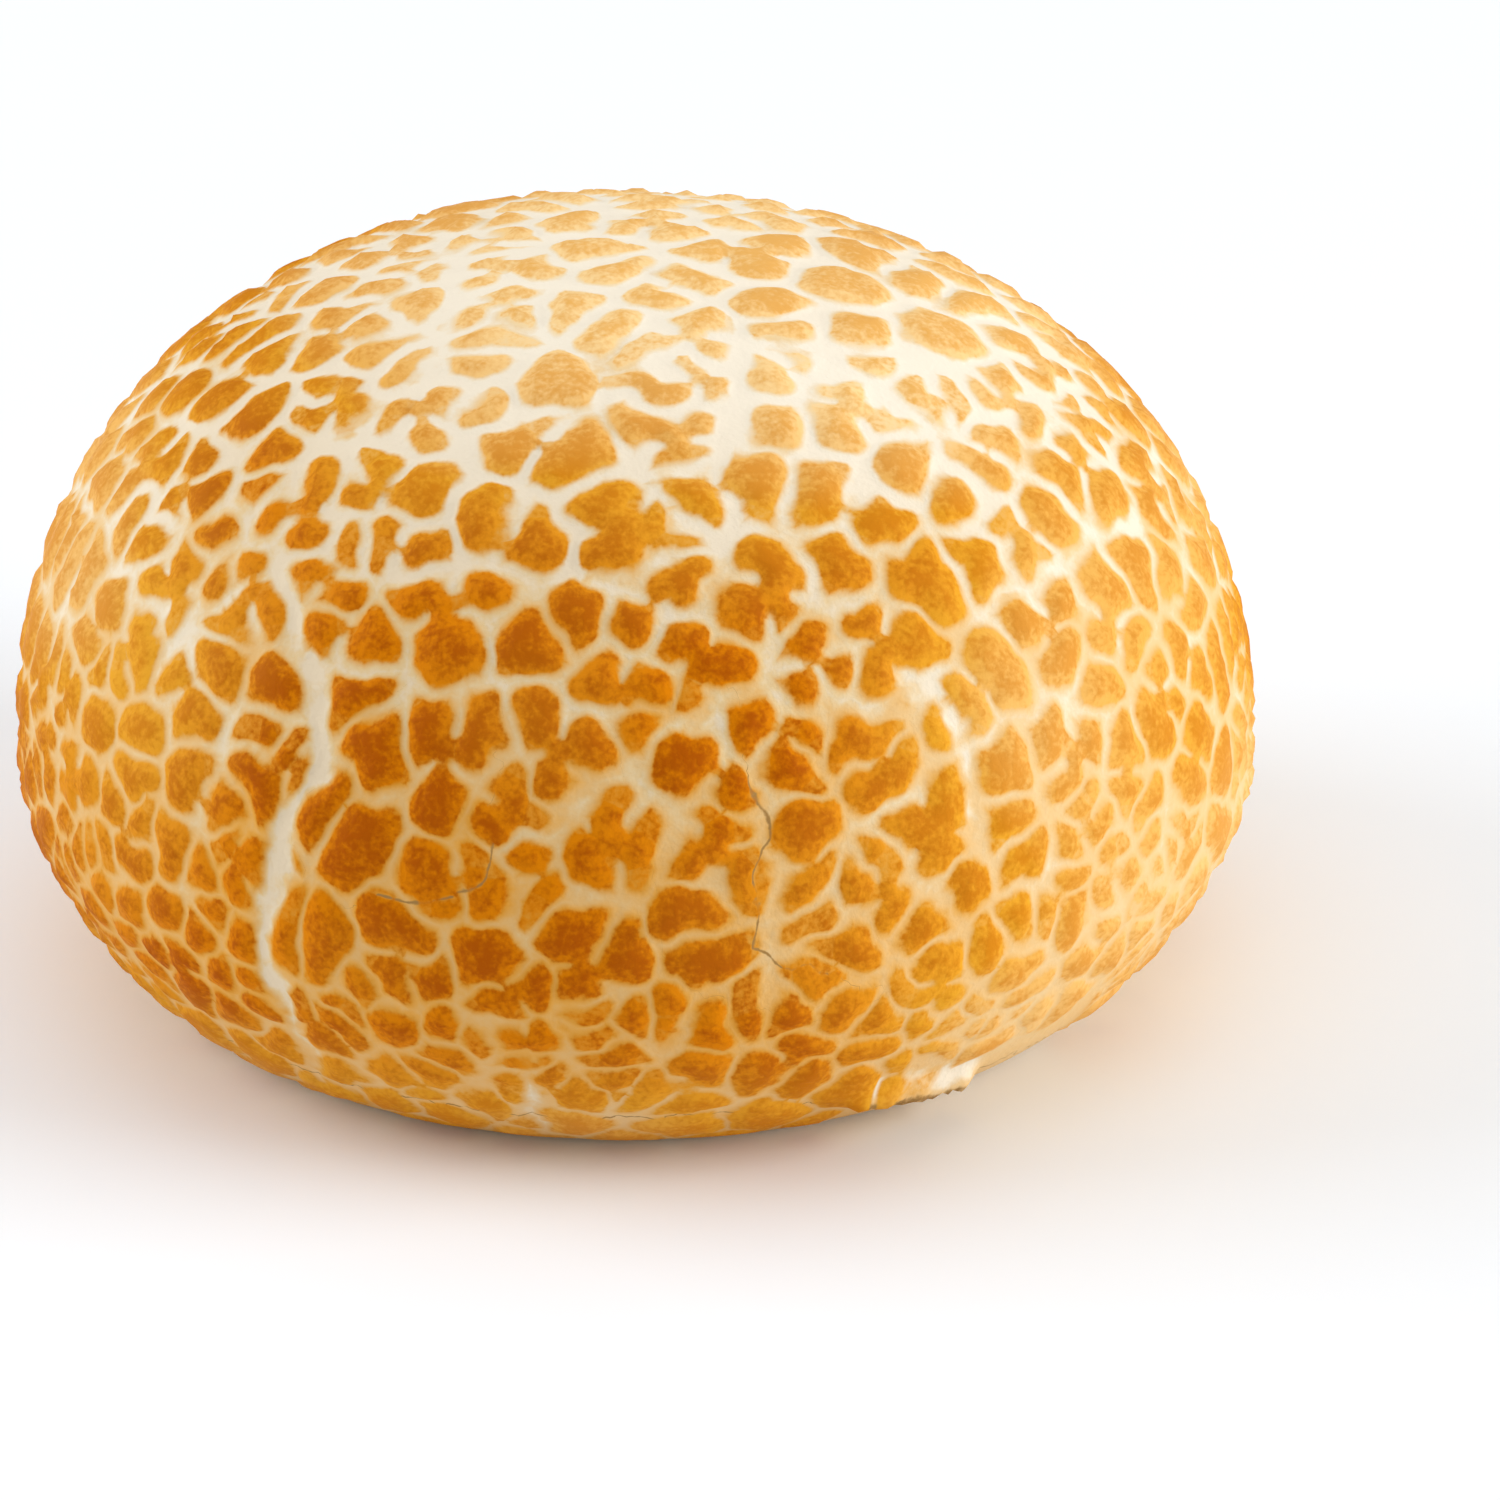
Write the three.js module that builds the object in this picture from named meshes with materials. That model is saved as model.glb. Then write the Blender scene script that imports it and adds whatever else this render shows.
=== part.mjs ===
// Tiger bread roll: a round roll on a flat foot, under a rice-paste crust that has burst into raised plaques.
// Millimetres, +Z up, the origin in the middle of the foot, and the front of the roll towards -Y.
import * as THREE from "three";
import { ConvexHull } from "three/addons/math/ConvexHull.js";

// Sizes of the loaf
const DIAMETER = 108; // across the widest part
const HEIGHT = 63.6; // from the foot to the crown
const WIDEST_HEIGHT = 18.6; // of the widest part above the foot
const FOOT_DIAMETER = 81; // the flat that stood on the baking tray
const CROWN_POWER = 2.26; // above 2 the dome is fuller than an ellipse
const CURL_POWER = 1.45; // below 2 the side runs in to the foot almost straight
const LUMP_HEIGHT = 0.45; // of the slow swellings of the dough
const LUMP_WAVES = [[2.3, 2.9, 0.4, 0.6], [1.9, -0.8, 3.4, 1.1]]; // radians along x, y and z, then the phase

// Sizes of the crust
const CROWN_SPACING = 6.7; // least distance from plaque to plaque at the crown
const FOOT_SPACING = 4.5; // least distance from plaque to plaque near the foot
const CROWN_PLAQUE = 3.2; // from a plaque's middle to its edge at the crown
const FOOT_PLAQUE = 2.35; // from a plaque's middle to its edge near the foot
const RIFT_PLAQUE = 3.8; // from a rift's line to the middles of the plaques beside it
const CRACK_HALF_WIDTH_MIN = 0.22; // of a crack that has barely opened
const CRACK_HALF_WIDTH_MAX = 1.5; // of the widest rift
const CRACK_DEPTH_MIN = 0.45; // of a crack that has barely opened
const CRACK_DEPTH_MAX = 1.15; // of the widest rift
const WALL_SHARE = 0.8; // share of a crack's half width that its sloping wall takes
const SHOULDER_DROP = 0.22; // of a plaque's edge below its middle
const RIM_PLAQUE_HEIGHT = 4.2; // of the row of plaques along the foot
const RIM_PLAQUE_LENGTH = 8; // of the row of plaques along the foot
const RIM_JITTER = 0.4; // share of that length by which a rim plaque strays
const RIM_GAP = 1.5; // from the rim row up to the lowest middle of another plaque

// The long rifts, each a run of places: degrees round from the front, and degrees down from the crown
const RIFTS = [
  [[-50, 52], [-38, 56], [-29, 66], [-27, 72], [-30, 77], [-32, 88], [-31, 100]],
  [[-49, 69], [-46, 62], [-40, 57]],
  [[-6, 75], [0, 69], [6, 66], [14, 63]],
  [[20, 66], [29, 65], [32, 69], [32, 80]],
  [[29, 21], [21, 32], [14, 40], [3, 43]],
  [[35, 26], [40, 30], [47, 42]],
  [[-114, 23], [-57, 20], [-38, 32], [-42, 42]],
  [[7, 46], [5, 51], [-4, 53]],
  [[42, 60], [53, 59]],
];

const CRUST_COLOUR = "#c9831f"; // golden orange-brown
const CRUST_ROUGHNESS = 0.62; // baked paste, dry with a faint sheen

const RADIUS = DIAMETER / 2;
const FOOT_RADIUS = FOOT_DIAMETER / 2;
const OUTLINE_STEPS = 240; // in each of the outline's two curves
const GOLDEN_ANGLE = Math.PI * (3 - Math.sqrt(5));
const RIFT_WALK = 0.25; // between the places tried along a rift
const TRY_PITCH = 2.2; // between the places tried for plaques
const RIFT_CLEARANCE = 0.8; // share of the spacing that the plaques of different rifts keep
const NEAR_AXIS = 1e-3; // radians from the crown within which the outline counts as flat

// A repeatable number from 0 to 1 for plaque number `index`, one series for each `salt`
function chance(index, salt) {
  const wave = Math.sin(index * 12.9898 + salt * 78.233) * 43758.5453;
  return wave - Math.floor(wave);
}

// The loaf's outline from the crown, over the widest part, to the edge of the foot.
// In each point x is the radius and y the height.
function loafOutline() {
  const points = [];
  const crownHeight = HEIGHT - WIDEST_HEIGHT;
  for (let i = 0; i <= OUTLINE_STEPS; i++) {
    const t = (i / OUTLINE_STEPS) * (Math.PI / 2);
    const radius = RADIUS * Math.sin(t) ** (2 / CROWN_POWER);
    points.push(new THREE.Vector2(radius, WIDEST_HEIGHT + crownHeight * Math.cos(t) ** (2 / CROWN_POWER)));
  }
  for (let i = 1; i <= OUTLINE_STEPS; i++) {
    const t = (i / OUTLINE_STEPS) * (Math.PI / 2);
    const radius = FOOT_RADIUS + (RADIUS - FOOT_RADIUS) * Math.cos(t) ** (2 / CURL_POWER);
    points.push(new THREE.Vector2(radius, WIDEST_HEIGHT * (1 - Math.sin(t) ** (2 / CURL_POWER))));
  }
  return points;
}

// The outline unrolled onto a unit sphere so that small shapes keep their proportions.
// `ring` is the tangent of half the angle down from the crown, 1 at the widest part.
// `arc` is the way down the outline, and `area` is that of the crust above.
function unrollOutline(points) {
  const knots = [{ radius: 0, height: HEIGHT, ring: 0, arc: 0, area: 0 }];
  for (let i = 1; i < points.length; i++) {
    const from = points[i - 1];
    const to = points[i];
    const last = knots[i - 1];
    const step = from.distanceTo(to);
    const growth = i === 1 ? 1 : Math.exp((2 * step) / (from.x + to.x));
    knots.push({
      radius: to.x,
      height: to.y,
      ring: i === 1 ? 1 : last.ring * growth,
      arc: last.arc + step,
      area: last.area + Math.PI * (from.x + to.x) * step,
    });
  }
  const widest = knots[OUTLINE_STEPS].ring;
  for (const knot of knots) knot.ring /= widest;
  return knots;
}

const KNOTS = unrollOutline(loafOutline());
const FOOT_KNOT = KNOTS[KNOTS.length - 1];
const FOOT_POLAR = 2 * Math.atan(FOOT_KNOT.ring);

// The place on the outline where the rising quantity `key` reaches `value`
function outlineAt(key, value) {
  let low = 0;
  let high = KNOTS.length - 1;
  while (high - low > 1) {
    const middle = (low + high) >> 1;
    if (KNOTS[middle][key] <= value) low = middle;
    else high = middle;
  }
  const from = KNOTS[low];
  const to = KNOTS[high];
  const share = (value - from[key]) / (to[key] - from[key]);
  const radius = THREE.MathUtils.lerp(from.radius, to.radius, share);
  const height = THREE.MathUtils.lerp(from.height, to.height, share);
  const polar = 2 * Math.atan(THREE.MathUtils.lerp(from.ring, to.ring, share));
  const normal = new THREE.Vector2(from.height - to.height, to.radius - from.radius).normalize();
  return { radius, height, polar, normal };
}

// A direction on the unit sphere, `turn` radians round from the front and `polar` radians down from the crown
function direction(turn, polar) {
  const across = Math.sin(polar);
  return new THREE.Vector3(across * Math.sin(turn), -across * Math.cos(turn), Math.cos(polar));
}

// The place on the outline that a direction on the unit sphere meets
function placeOf(way) {
  const polar = Math.acos(THREE.MathUtils.clamp(way.z, -1, 1));
  return outlineAt("ring", Math.min(Math.tan(polar / 2), FOOT_KNOT.ring));
}

// Millimetres on the crust to a radian on the unit sphere
function scaleAt(way) {
  const across = Math.hypot(way.x, way.y);
  return across < NEAR_AXIS ? KNOTS[1].radius / (2 * KNOTS[1].ring) : placeOf(way).radius / across;
}

// Least distance from plaque to plaque in a direction
function spacingAt(way) {
  return THREE.MathUtils.lerp(FOOT_SPACING, CROWN_SPACING, placeOf(way).height / HEIGHT);
}

// Slow swellings of the dough, none at the foot
function lumpAt(way, height) {
  const fade = THREE.MathUtils.smoothstep(height, 0, WIDEST_HEIGHT);
  const waves = LUMP_WAVES.map(([x, y, z, phase]) => Math.sin(x * way.x + y * way.y + z * way.z + phase));
  return (LUMP_HEIGHT * fade * waves.reduce((sum, wave) => sum + wave)) / waves.length;
}

// The point of the crust in a direction, `lift` millimetres out from the smooth loaf
function skin(way, lift) {
  const place = placeOf(way);
  const turn = Math.atan2(way.x, -way.y);
  const out = lift + lumpAt(way, place.height);
  const radius = place.radius + out * place.normal.x;
  return new THREE.Vector3(
    radius * Math.sin(turn),
    -radius * Math.cos(turn),
    place.height + out * place.normal.y,
  );
}

// Middles of the plaques along a rift, on one side of it and the other in turn
function riftSeeds(run) {
  const seeds = [];
  let walked = 0;
  let due = 0;
  for (let leg = 1; leg < run.length; leg++) {
    const from = direction(...run[leg - 1].map(THREE.MathUtils.degToRad));
    const to = direction(...run[leg].map(THREE.MathUtils.degToRad));
    const middle = from.clone().add(to).normalize();
    const along = to.clone().sub(from).normalize();
    const side = middle.clone().cross(along);
    const length = from.angleTo(to) * scaleAt(middle);
    for (let walk = 0; walk < length; walk += RIFT_WALK) {
      walked += RIFT_WALK;
      if (walked < due) continue;
      const way = from.clone().lerp(to, walk / length).normalize();
      const apart = (seeds.length % 2 ? -RIFT_PLAQUE : RIFT_PLAQUE) / scaleAt(way);
      seeds.push(way.clone().addScaledVector(side, apart).normalize());
      due += spacingAt(way) / 2;
    }
  }
  return seeds;
}

// Places to try for plaques, close together from the crown to the rim row, in a scattered order
function triedSeeds() {
  const rimTop = FOOT_KNOT.arc - RIM_PLAQUE_HEIGHT - RIM_GAP;
  const lowest = KNOTS.filter((knot) => knot.arc < rimTop).pop().area;
  const numbers = Array.from({ length: Math.floor(lowest / TRY_PITCH ** 2) }, (_, i) => i);
  numbers.sort((a, b) => chance(a, 1) - chance(b, 1));
  return numbers.map((i) => {
    const turn = (i + chance(i, 2)) * GOLDEN_ANGLE;
    return direction(turn, outlineAt("area", (i + 0.5) * TRY_PITCH ** 2).polar);
  });
}

// Adds those seeds to `taken` that keep their distance from the ones already there
function takeClear(taken, seeds, share) {
  for (const seed of seeds) {
    const reach = (share * spacingAt(seed)) / scaleAt(seed);
    if (taken.every((other) => other.distanceTo(seed) > reach)) taken.push(seed);
  }
}

// Middles of the plaques along the foot, or with `side` -1 their mirror images under it
function rimSeeds(side) {
  const count = Math.round((2 * Math.PI * FOOT_RADIUS) / RIM_PLAQUE_LENGTH);
  const inset = (RIM_PLAQUE_HEIGHT / 2) * (Math.sin(FOOT_POLAR) / FOOT_RADIUS);
  const seeds = [];
  for (let i = 0; i < count; i++) {
    const turn = ((i + (chance(i, 3) - 0.5) * RIM_JITTER) / count) * 2 * Math.PI;
    seeds.push(direction(turn, FOOT_POLAR - side * inset));
  }
  return seeds;
}

// The crack between two plaques is what their own sizes leave of the way between their middles.
// `halfWidth` is in millimetres.
// `share` is the part that its wall takes of the way from its line to a plaque's middle.
function crackBetween(seed, other) {
  const middle = seed.clone().add(other).normalize();
  const plaque = THREE.MathUtils.lerp(FOOT_PLAQUE, CROWN_PLAQUE, placeOf(middle).height / HEIGHT);
  const reach = (seed.distanceTo(other) * scaleAt(middle)) / 2;
  const halfWidth = THREE.MathUtils.clamp(reach - plaque, CRACK_HALF_WIDTH_MIN, CRACK_HALF_WIDTH_MAX);
  return { halfWidth, share: (WALL_SHARE * halfWidth) / reach };
}

// Depth of a crack of a given half width
function crackDepth(halfWidth) {
  const open = (halfWidth - CRACK_HALF_WIDTH_MIN) / (CRACK_HALF_WIDTH_MAX - CRACK_HALF_WIDTH_MIN);
  return THREE.MathUtils.lerp(CRACK_DEPTH_MIN, CRACK_DEPTH_MAX, Math.sqrt(open));
}

// The faces of the hull of the seeds that meet in one seed, in order round it, seen from outside
function facesRound(edge) {
  const faces = [];
  let walk = edge;
  do {
    faces.push(walk.face);
    walk = walk.next.twin;
  } while (walk !== edge);
  return faces.reverse();
}

// The roll as one closed surface.
// Each plaque is a low polygon dome, and cracks run along the borders between plaques.
function rollGeometry() {
  const crust = rimSeeds(1);
  for (const run of RIFTS) takeClear(crust, riftSeeds(run), RIFT_CLEARANCE);
  takeClear(crust, triedSeeds(), 1);
  const under = [...rimSeeds(-1), new THREE.Vector3(0, 0, -1)];
  const outside = new Set(under);
  const hull = new ConvexHull().setFromPoints([...crust, ...under]);

  const vertices = [];
  const triangles = [];
  const addVertex = (point) => vertices.push(point.x, point.y, point.z) / 3 - 1;

  // Corners where cracks meet, each shared by the plaques round it.
  // Those along the foot lie in the foot's edge.
  const corners = new Map();
  const cornerOfFace = new Map();
  const edgeOfSeed = new Map();
  for (const face of hull.faces) {
    const edges = [0, 1, 2].map((i) => face.getEdge(i));
    const seeds = edges.map((edge) => edge.head().point);
    edges.forEach((edge, i) => edgeOfSeed.set(seeds[i], edge));
    const way = face.normal.clone().normalize();
    const onFoot = seeds.some((seed) => outside.has(seed));
    const key = way.toArray().map((x) => x.toFixed(5)).join();
    if (!corners.has(key)) {
      const halfWidths = seeds.map((seed, i) => crackBetween(seed, seeds[(i + 1) % 3]).halfWidth);
      const depth = onFoot ? 0 : crackDepth(Math.max(...halfWidths));
      corners.set(key, { way, seeds, onFoot, depth, vertex: -1 });
    }
    cornerOfFace.set(face, corners.get(key));
  }

  for (const seed of crust) {
    const round = facesRound(edgeOfSeed.get(seed)).map((face) => cornerOfFace.get(face));
    const cell = round.filter((corner, i) => corner !== round[(i + 1) % round.length]);
    const crown = addVertex(skin(seed, 0));
    const ring = cell.map((corner) => {
      if (corner.vertex < 0) corner.vertex = addVertex(skin(corner.way, -corner.depth));
      const others = corner.seeds.filter((other) => other !== seed);
      const shares = others.map((other) => crackBetween(seed, other).share);
      const inset = shares.reduce((sum, share) => sum + share) / shares.length;
      return addVertex(skin(corner.way.clone().lerp(seed, inset).normalize(), -SHOULDER_DROP));
    });
    cell.forEach((corner, i) => {
      const next = (i + 1) % cell.length;
      triangles.push(crown, ring[i], ring[next]);
      triangles.push(ring[i], corner.vertex, ring[next]);
      triangles.push(corner.vertex, cell[next].vertex, ring[next]);
    });
  }

  const foot = [...corners.values()].filter((corner) => corner.onFoot && corner.vertex >= 0);
  foot.sort((a, b) => Math.atan2(a.way.y, a.way.x) - Math.atan2(b.way.y, b.way.x));
  const middle = addVertex(new THREE.Vector3(0, 0, 0));
  foot.forEach((corner, i) => triangles.push(middle, foot[(i + 1) % foot.length].vertex, corner.vertex));

  const geometry = new THREE.BufferGeometry();
  geometry.setAttribute("position", new THREE.Float32BufferAttribute(vertices, 3));
  geometry.setIndex(triangles);
  geometry.computeVertexNormals();
  return geometry;
}

const crustMaterial = new THREE.MeshStandardMaterial({
  color: CRUST_COLOUR,
  roughness: CRUST_ROUGHNESS,
  metalness: 0,
});
const roll = new THREE.Mesh(rollGeometry(), crustMaterial);
roll.name = "roll";

const tigerRoll = new THREE.Group();
tigerRoll.name = "tiger_bread_roll";
tigerRoll.add(roll);

export default tigerRoll;
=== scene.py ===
"""Tiger bread roll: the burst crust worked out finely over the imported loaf, on a pale floor in soft light."""

import logging
import math
from dataclasses import dataclass, field
from enum import Enum, IntEnum
from itertools import combinations
from typing import Any

import bpy
import numpy as np
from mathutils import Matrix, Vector
from mathutils.geometry import delaunay_2d_cdt
from numpy.typing import NDArray


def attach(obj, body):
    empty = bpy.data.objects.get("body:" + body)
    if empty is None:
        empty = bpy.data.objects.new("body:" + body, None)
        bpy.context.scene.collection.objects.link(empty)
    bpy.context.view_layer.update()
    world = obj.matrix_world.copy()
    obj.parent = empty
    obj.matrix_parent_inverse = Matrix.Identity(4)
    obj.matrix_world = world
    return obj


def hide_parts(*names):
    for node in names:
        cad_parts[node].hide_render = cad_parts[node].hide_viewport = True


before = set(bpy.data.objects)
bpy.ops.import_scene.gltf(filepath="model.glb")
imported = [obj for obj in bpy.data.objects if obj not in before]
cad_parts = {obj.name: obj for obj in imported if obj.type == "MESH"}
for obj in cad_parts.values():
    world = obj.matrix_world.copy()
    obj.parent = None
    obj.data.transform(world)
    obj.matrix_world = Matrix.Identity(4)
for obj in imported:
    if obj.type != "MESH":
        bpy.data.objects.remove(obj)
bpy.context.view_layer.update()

Floats = NDArray[np.float64]
Whole = NDArray[np.int64]
Node = bpy.types.Node
Link = tuple[Node, str]
Span = tuple[int, int]
Pair = tuple[float, float]
Run = tuple[Pair, ...]
Legs = tuple[Floats, Floats, Whole]

MM = 0.001  # metres in a millimetre
FAR = 99.0  # stands for a border that is not there
TINY = 1e-9  # keeps a division from running into nought, and vertices from being merged
ROW_STEP = math.sqrt(0.75)  # from row to row of an even mesh, as a share of the way along a row
HASH_PITCH, HASH_SHIFT, HASH_SPREAD = 12.9898, 78.233, 43758.5453  # scramble a number into its chance
RIPPLE_STRIDE = 40.0  # numbers set aside for the waves of each ripple
RIPPLE_LEAST, RIPPLE_SPAN = 0.6, 0.8  # of the waves' pitches, as shares of the usual pitch
LOBE_STRIDE = 4.0  # numbers set aside for the lobes of each plaque
LOG = logging.getLogger("tiger_roll")


class ChanceOf(IntEnum):
    """Series of chances, one for each thing that is left to chance."""

    WAVE_RISE = 1
    WAVE_TURN = 2
    WAVE_PITCH = 3
    WAVE_PHASE = 4
    LOBE_COUNT = 21
    FIRST_LOBE = 22
    LOBE_STRAY = 23
    LOBE_THROW = 24
    INLET_FROM_ONE_SIDE = 25
    INLET_FROM_THE_OTHER = 26
    PLAQUE_TONE = 31


class RippleOf(IntEnum):
    """Ripples over the crust, one for each thing that changes from place to place."""

    BORDERS = 0  # the first of three for each size of wander
    CRACK_WIDTH = 11
    RIFT_WIDTH = 12
    BARE_SKIN = 14
    GRAIN = 21
    LIP = 23
    BROWNING = 31


class Line(Enum):
    """Lines that vertices are moved onto, each where this part of a survey is nought."""

    EDGE = "edge"
    MIDDLE = "middle"
    HAIR = "hair"


class Mark(Enum):
    """What the mesh tells the shader at each vertex."""

    EDGE = "edge"
    OPEN = "open"
    # hair: distance from the lines drawn dark as painted shade, the hairlines and the torn lip
    HAIR = "hair"
    TONE = "tone"
    # paleness of the crust: its browning together with painted light and shade
    PALE = "pale"


def chance(index: Floats, series: int) -> Floats:
    """Gives a repeatable number from 0 to 1 for each index.

    Args:
        index: Any numbers, one for each thing that needs a chance.
        series: Number of the series, so that one thing can have several chances.

    Returns:
        As many numbers from 0 to 1.
    """
    wave = np.sin(index * HASH_PITCH + series * HASH_SHIFT) * HASH_SPREAD
    return wave - np.floor(wave)


def ease(low: float, high: float, value: Floats) -> Floats:
    """Rises smoothly from 0 at low to 1 at high.

    Args:
        low: Value at and below which the result is 0.
        high: Value at and above which the result is 1.
        value: Numbers to ease.

    Returns:
        As many numbers from 0 to 1.
    """
    share = np.clip((value - low) / (high - low), 0.0, 1.0)
    return share * share * (3.0 - 2.0 * share)


def soft_least(values: Floats, blend: float) -> Floats:
    """Takes the least value of each row, rounding the corner where two are nearly equal.

    Args:
        values: Rows of numbers.
        blend: Difference over which two values run into each other.

    Returns:
        One number a row.
    """
    least = values.min(axis=1)
    return least - blend * np.log(np.exp((least[:, None] - values) / blend).sum(axis=1))


def unit(vectors: Floats) -> Floats:
    """Gives vectors a length of 1."""
    return vectors / np.linalg.norm(vectors, axis=-1, keepdims=True)


def turn_of(points: Floats) -> Floats:
    """Gives the radians round from the front at which points or directions lie."""
    return np.arctan2(points[:, 0], -points[:, 1])


def round_axis(radius: Floats | float, turn: Floats, height: Floats) -> Floats:
    """Gives points by their distance from the upright axis, radians round from the front and height."""
    return np.stack([radius * np.sin(turn), -radius * np.cos(turn), height], axis=1)


def ripple(points: Floats, length: float, series: int, waves: int = 10) -> Floats:
    """Smooth noise over points of the crust, summed from waves that run in scattered directions.

    Args:
        points: Points in millimetres, one a row.
        length: Rough distance from swell to swell in millimetres.
        series: Number of the ripple, so that two ripples differ.
        waves: How many waves to sum.

    Returns:
        Numbers of about -1 to 1, one a point.
    """
    index = np.arange(waves) + RIPPLE_STRIDE * series
    rise = 2.0 * chance(index, ChanceOf.WAVE_RISE) - 1.0
    turn = 2.0 * math.pi * chance(index, ChanceOf.WAVE_TURN)
    flat = np.sqrt(1.0 - rise**2)
    pitch = 2.0 * math.pi / length * (RIPPLE_LEAST + RIPPLE_SPAN * chance(index, ChanceOf.WAVE_PITCH))
    ways = np.stack([flat * np.cos(turn), flat * np.sin(turn), rise]) * pitch
    phase = 2.0 * math.pi * chance(index, ChanceOf.WAVE_PHASE)
    return np.sin(points @ ways + phase).sum(axis=1) / math.sqrt(2.0 * waves)


def linear(hex_colour: str) -> tuple[float, float, float, float]:
    """Turns an sRGB hex colour into linear light.

    Args:
        hex_colour: Colour such as "#c9831f".

    Returns:
        Red, green, blue and an alpha of 1.
    """
    shares = [int(hex_colour[i : i + 2], 16) / 255.0 for i in (1, 3, 5)]
    red, green, blue = (s / 12.92 if s <= 0.04045 else ((s + 0.055) / 1.055) ** 2.4 for s in shares)
    return red, green, blue, 1.0


@dataclass
class Loaf:
    """The smooth loaf under the crust, a body of revolution in millimetres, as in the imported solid.

    Each place on it has a direction on a unit sphere, unrolled so that small shapes keep their proportions.
    """

    diameter: float = 108.0
    height: float = 63.6
    widest_height: float = 18.6
    foot_diameter: float = 81.0
    crown_power: float = 2.26
    curl_power: float = 1.45
    lump_height: float = 0.45
    lump_waves: tuple[tuple[float, ...], ...] = ((2.3, 2.9, 0.4, 0.6), (1.9, -0.8, 3.4, 1.1))
    outline_steps: int = 240  # from the crown to the widest place, and on to the foot
    search_steps: int = 8  # for each of these, where points are sought on the outline
    first_row: float = 0.3  # from the crown to the first row, as a share of the way from row to row

    def __post_init__(self) -> None:
        """Works out the outline from the crown to the foot's edge, and how it unrolls onto the sphere."""
        radius = self.diameter / 2.0
        turn = np.linspace(0.0, math.pi / 2.0, self.outline_steps + 1)
        sine, cosine = np.sin(turn), np.maximum(np.cos(turn), 0.0)
        crown = 2.0 / self.crown_power
        curl = 2.0 / self.curl_power
        above = self.height - self.widest_height
        lower_radius = self.foot_radius + (radius - self.foot_radius) * cosine**curl
        lower_height = self.widest_height * (1.0 - sine**curl)
        self.knot_radius = np.concatenate([radius * sine**crown, lower_radius[1:]])
        self.knot_height = np.concatenate([self.widest_height + above * cosine**crown, lower_height[1:]])
        run, drop = np.diff(self.knot_radius), -np.diff(self.knot_height)
        step = np.hypot(run, drop)
        width = self.knot_radius[1:] + self.knot_radius[:-1]
        ring = np.concatenate([[0.0, 1.0], np.exp(np.cumsum(2.0 * step[1:] / width[1:]))])
        self.knot_ring = ring / ring[self.outline_steps]
        self.knot_arc = np.concatenate([[0.0], np.cumsum(step)])
        sides = -self.knot_height, self.knot_radius
        self.knot_out = tuple(np.gradient(knots, self.knot_arc) for knots in sides)

    @property
    def foot_radius(self) -> float:
        """Radius of the flat foot."""
        return self.foot_diameter / 2.0

    def ways(self, arc: Floats, turn: Floats) -> Floats:
        """Finds directions on the unit sphere.

        Args:
            arc: Millimetres down the outline from the crown.
            turn: Radians round from the front.

        Returns:
            Unit vectors, one a row.
        """
        polar = 2.0 * np.arctan(np.interp(arc, self.knot_arc, self.knot_ring))
        return round_axis(np.sin(polar), turn, np.cos(polar))

    def ring_of(self, ways: Floats) -> Floats:
        """Gives the tangent of half the angle down from the crown for each direction."""
        return np.tan(np.arccos(np.clip(ways[:, 2], -1.0, 1.0)) / 2.0)

    def height_of(self, ways: Floats) -> Floats:
        """Gives the height of the smooth loaf in each direction."""
        return np.interp(self.ring_of(ways), self.knot_ring, self.knot_height)

    def scale(self, ways: Floats) -> Floats:
        """Finds out how large the crust is against the sphere.

        Args:
            ways: Directions on the unit sphere.

        Returns:
            Millimetres of crust to a radian of the sphere, one a direction.
        """
        across = np.maximum(np.hypot(ways[:, 0], ways[:, 1]), 2.0 * self.knot_ring[1])
        radius = np.interp(self.ring_of(ways), self.knot_ring, self.knot_radius)
        return radius.clip(self.knot_radius[1]) / across

    def lump(self, ways: Floats) -> Floats:
        """Gives the slow swelling of the dough in each direction, none at the foot."""
        waves = [np.sin(ways @ np.array(wave[:3]) + wave[3]) for wave in self.lump_waves]
        return self.lump_height * ease(0.0, self.widest_height, self.height_of(ways)) * np.mean(waves, axis=0)

    def points(self, ways: Floats, lift: Floats | float = 0.0) -> Floats:
        """Places points on the crust.

        Args:
            ways: Directions on the unit sphere.
            lift: Millimetres out from the smooth loaf.

        Returns:
            Points in millimetres, one a row.
        """
        ring = self.ring_of(ways)
        out = lift + self.lump(ways)
        across, up = (np.interp(ring, self.knot_ring, knots) for knots in self.knot_out)
        radius = np.interp(ring, self.knot_ring, self.knot_radius) + out * across
        height = np.interp(ring, self.knot_ring, self.knot_height) + out * up
        return round_axis(radius, turn_of(ways), height)

    def unroll(self, points: Floats) -> tuple[Floats, Floats]:
        """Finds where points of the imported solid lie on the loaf.

        Args:
            points: Points in millimetres, one a row.

        Returns:
            Their directions on the unit sphere, and how far they stand out from the swollen loaf.
        """
        arc = np.linspace(0.0, self.knot_arc[-1], self.search_steps * len(self.knot_arc))
        outline = self.knot_radius, self.knot_height, *self.knot_out
        radius, height, across, up = (np.interp(arc, self.knot_arc, knots) for knots in outline)
        wide = np.hypot(points[:, 0], points[:, 1])
        near = np.hypot(wide[:, None] - radius, points[:, 2:3] - height).argmin(axis=1)
        ways = self.ways(arc[near], turn_of(points))
        lift = (wide - radius[near]) * across[near] + (points[:, 2] - height[near]) * up[near]
        return ways, lift - self.lump(ways)

    def compass(self, ways: Floats) -> tuple[Floats, Floats]:
        """Gives unit vectors along the sphere in each direction.

        Args:
            ways: Directions on the unit sphere.

        Returns:
            Vectors to the right, and vectors down, as seen from outside.
        """
        turn = turn_of(ways)
        right = np.stack([np.cos(turn), np.sin(turn), np.zeros(len(turn))], axis=1)
        return right, np.cross(right, ways)

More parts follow.
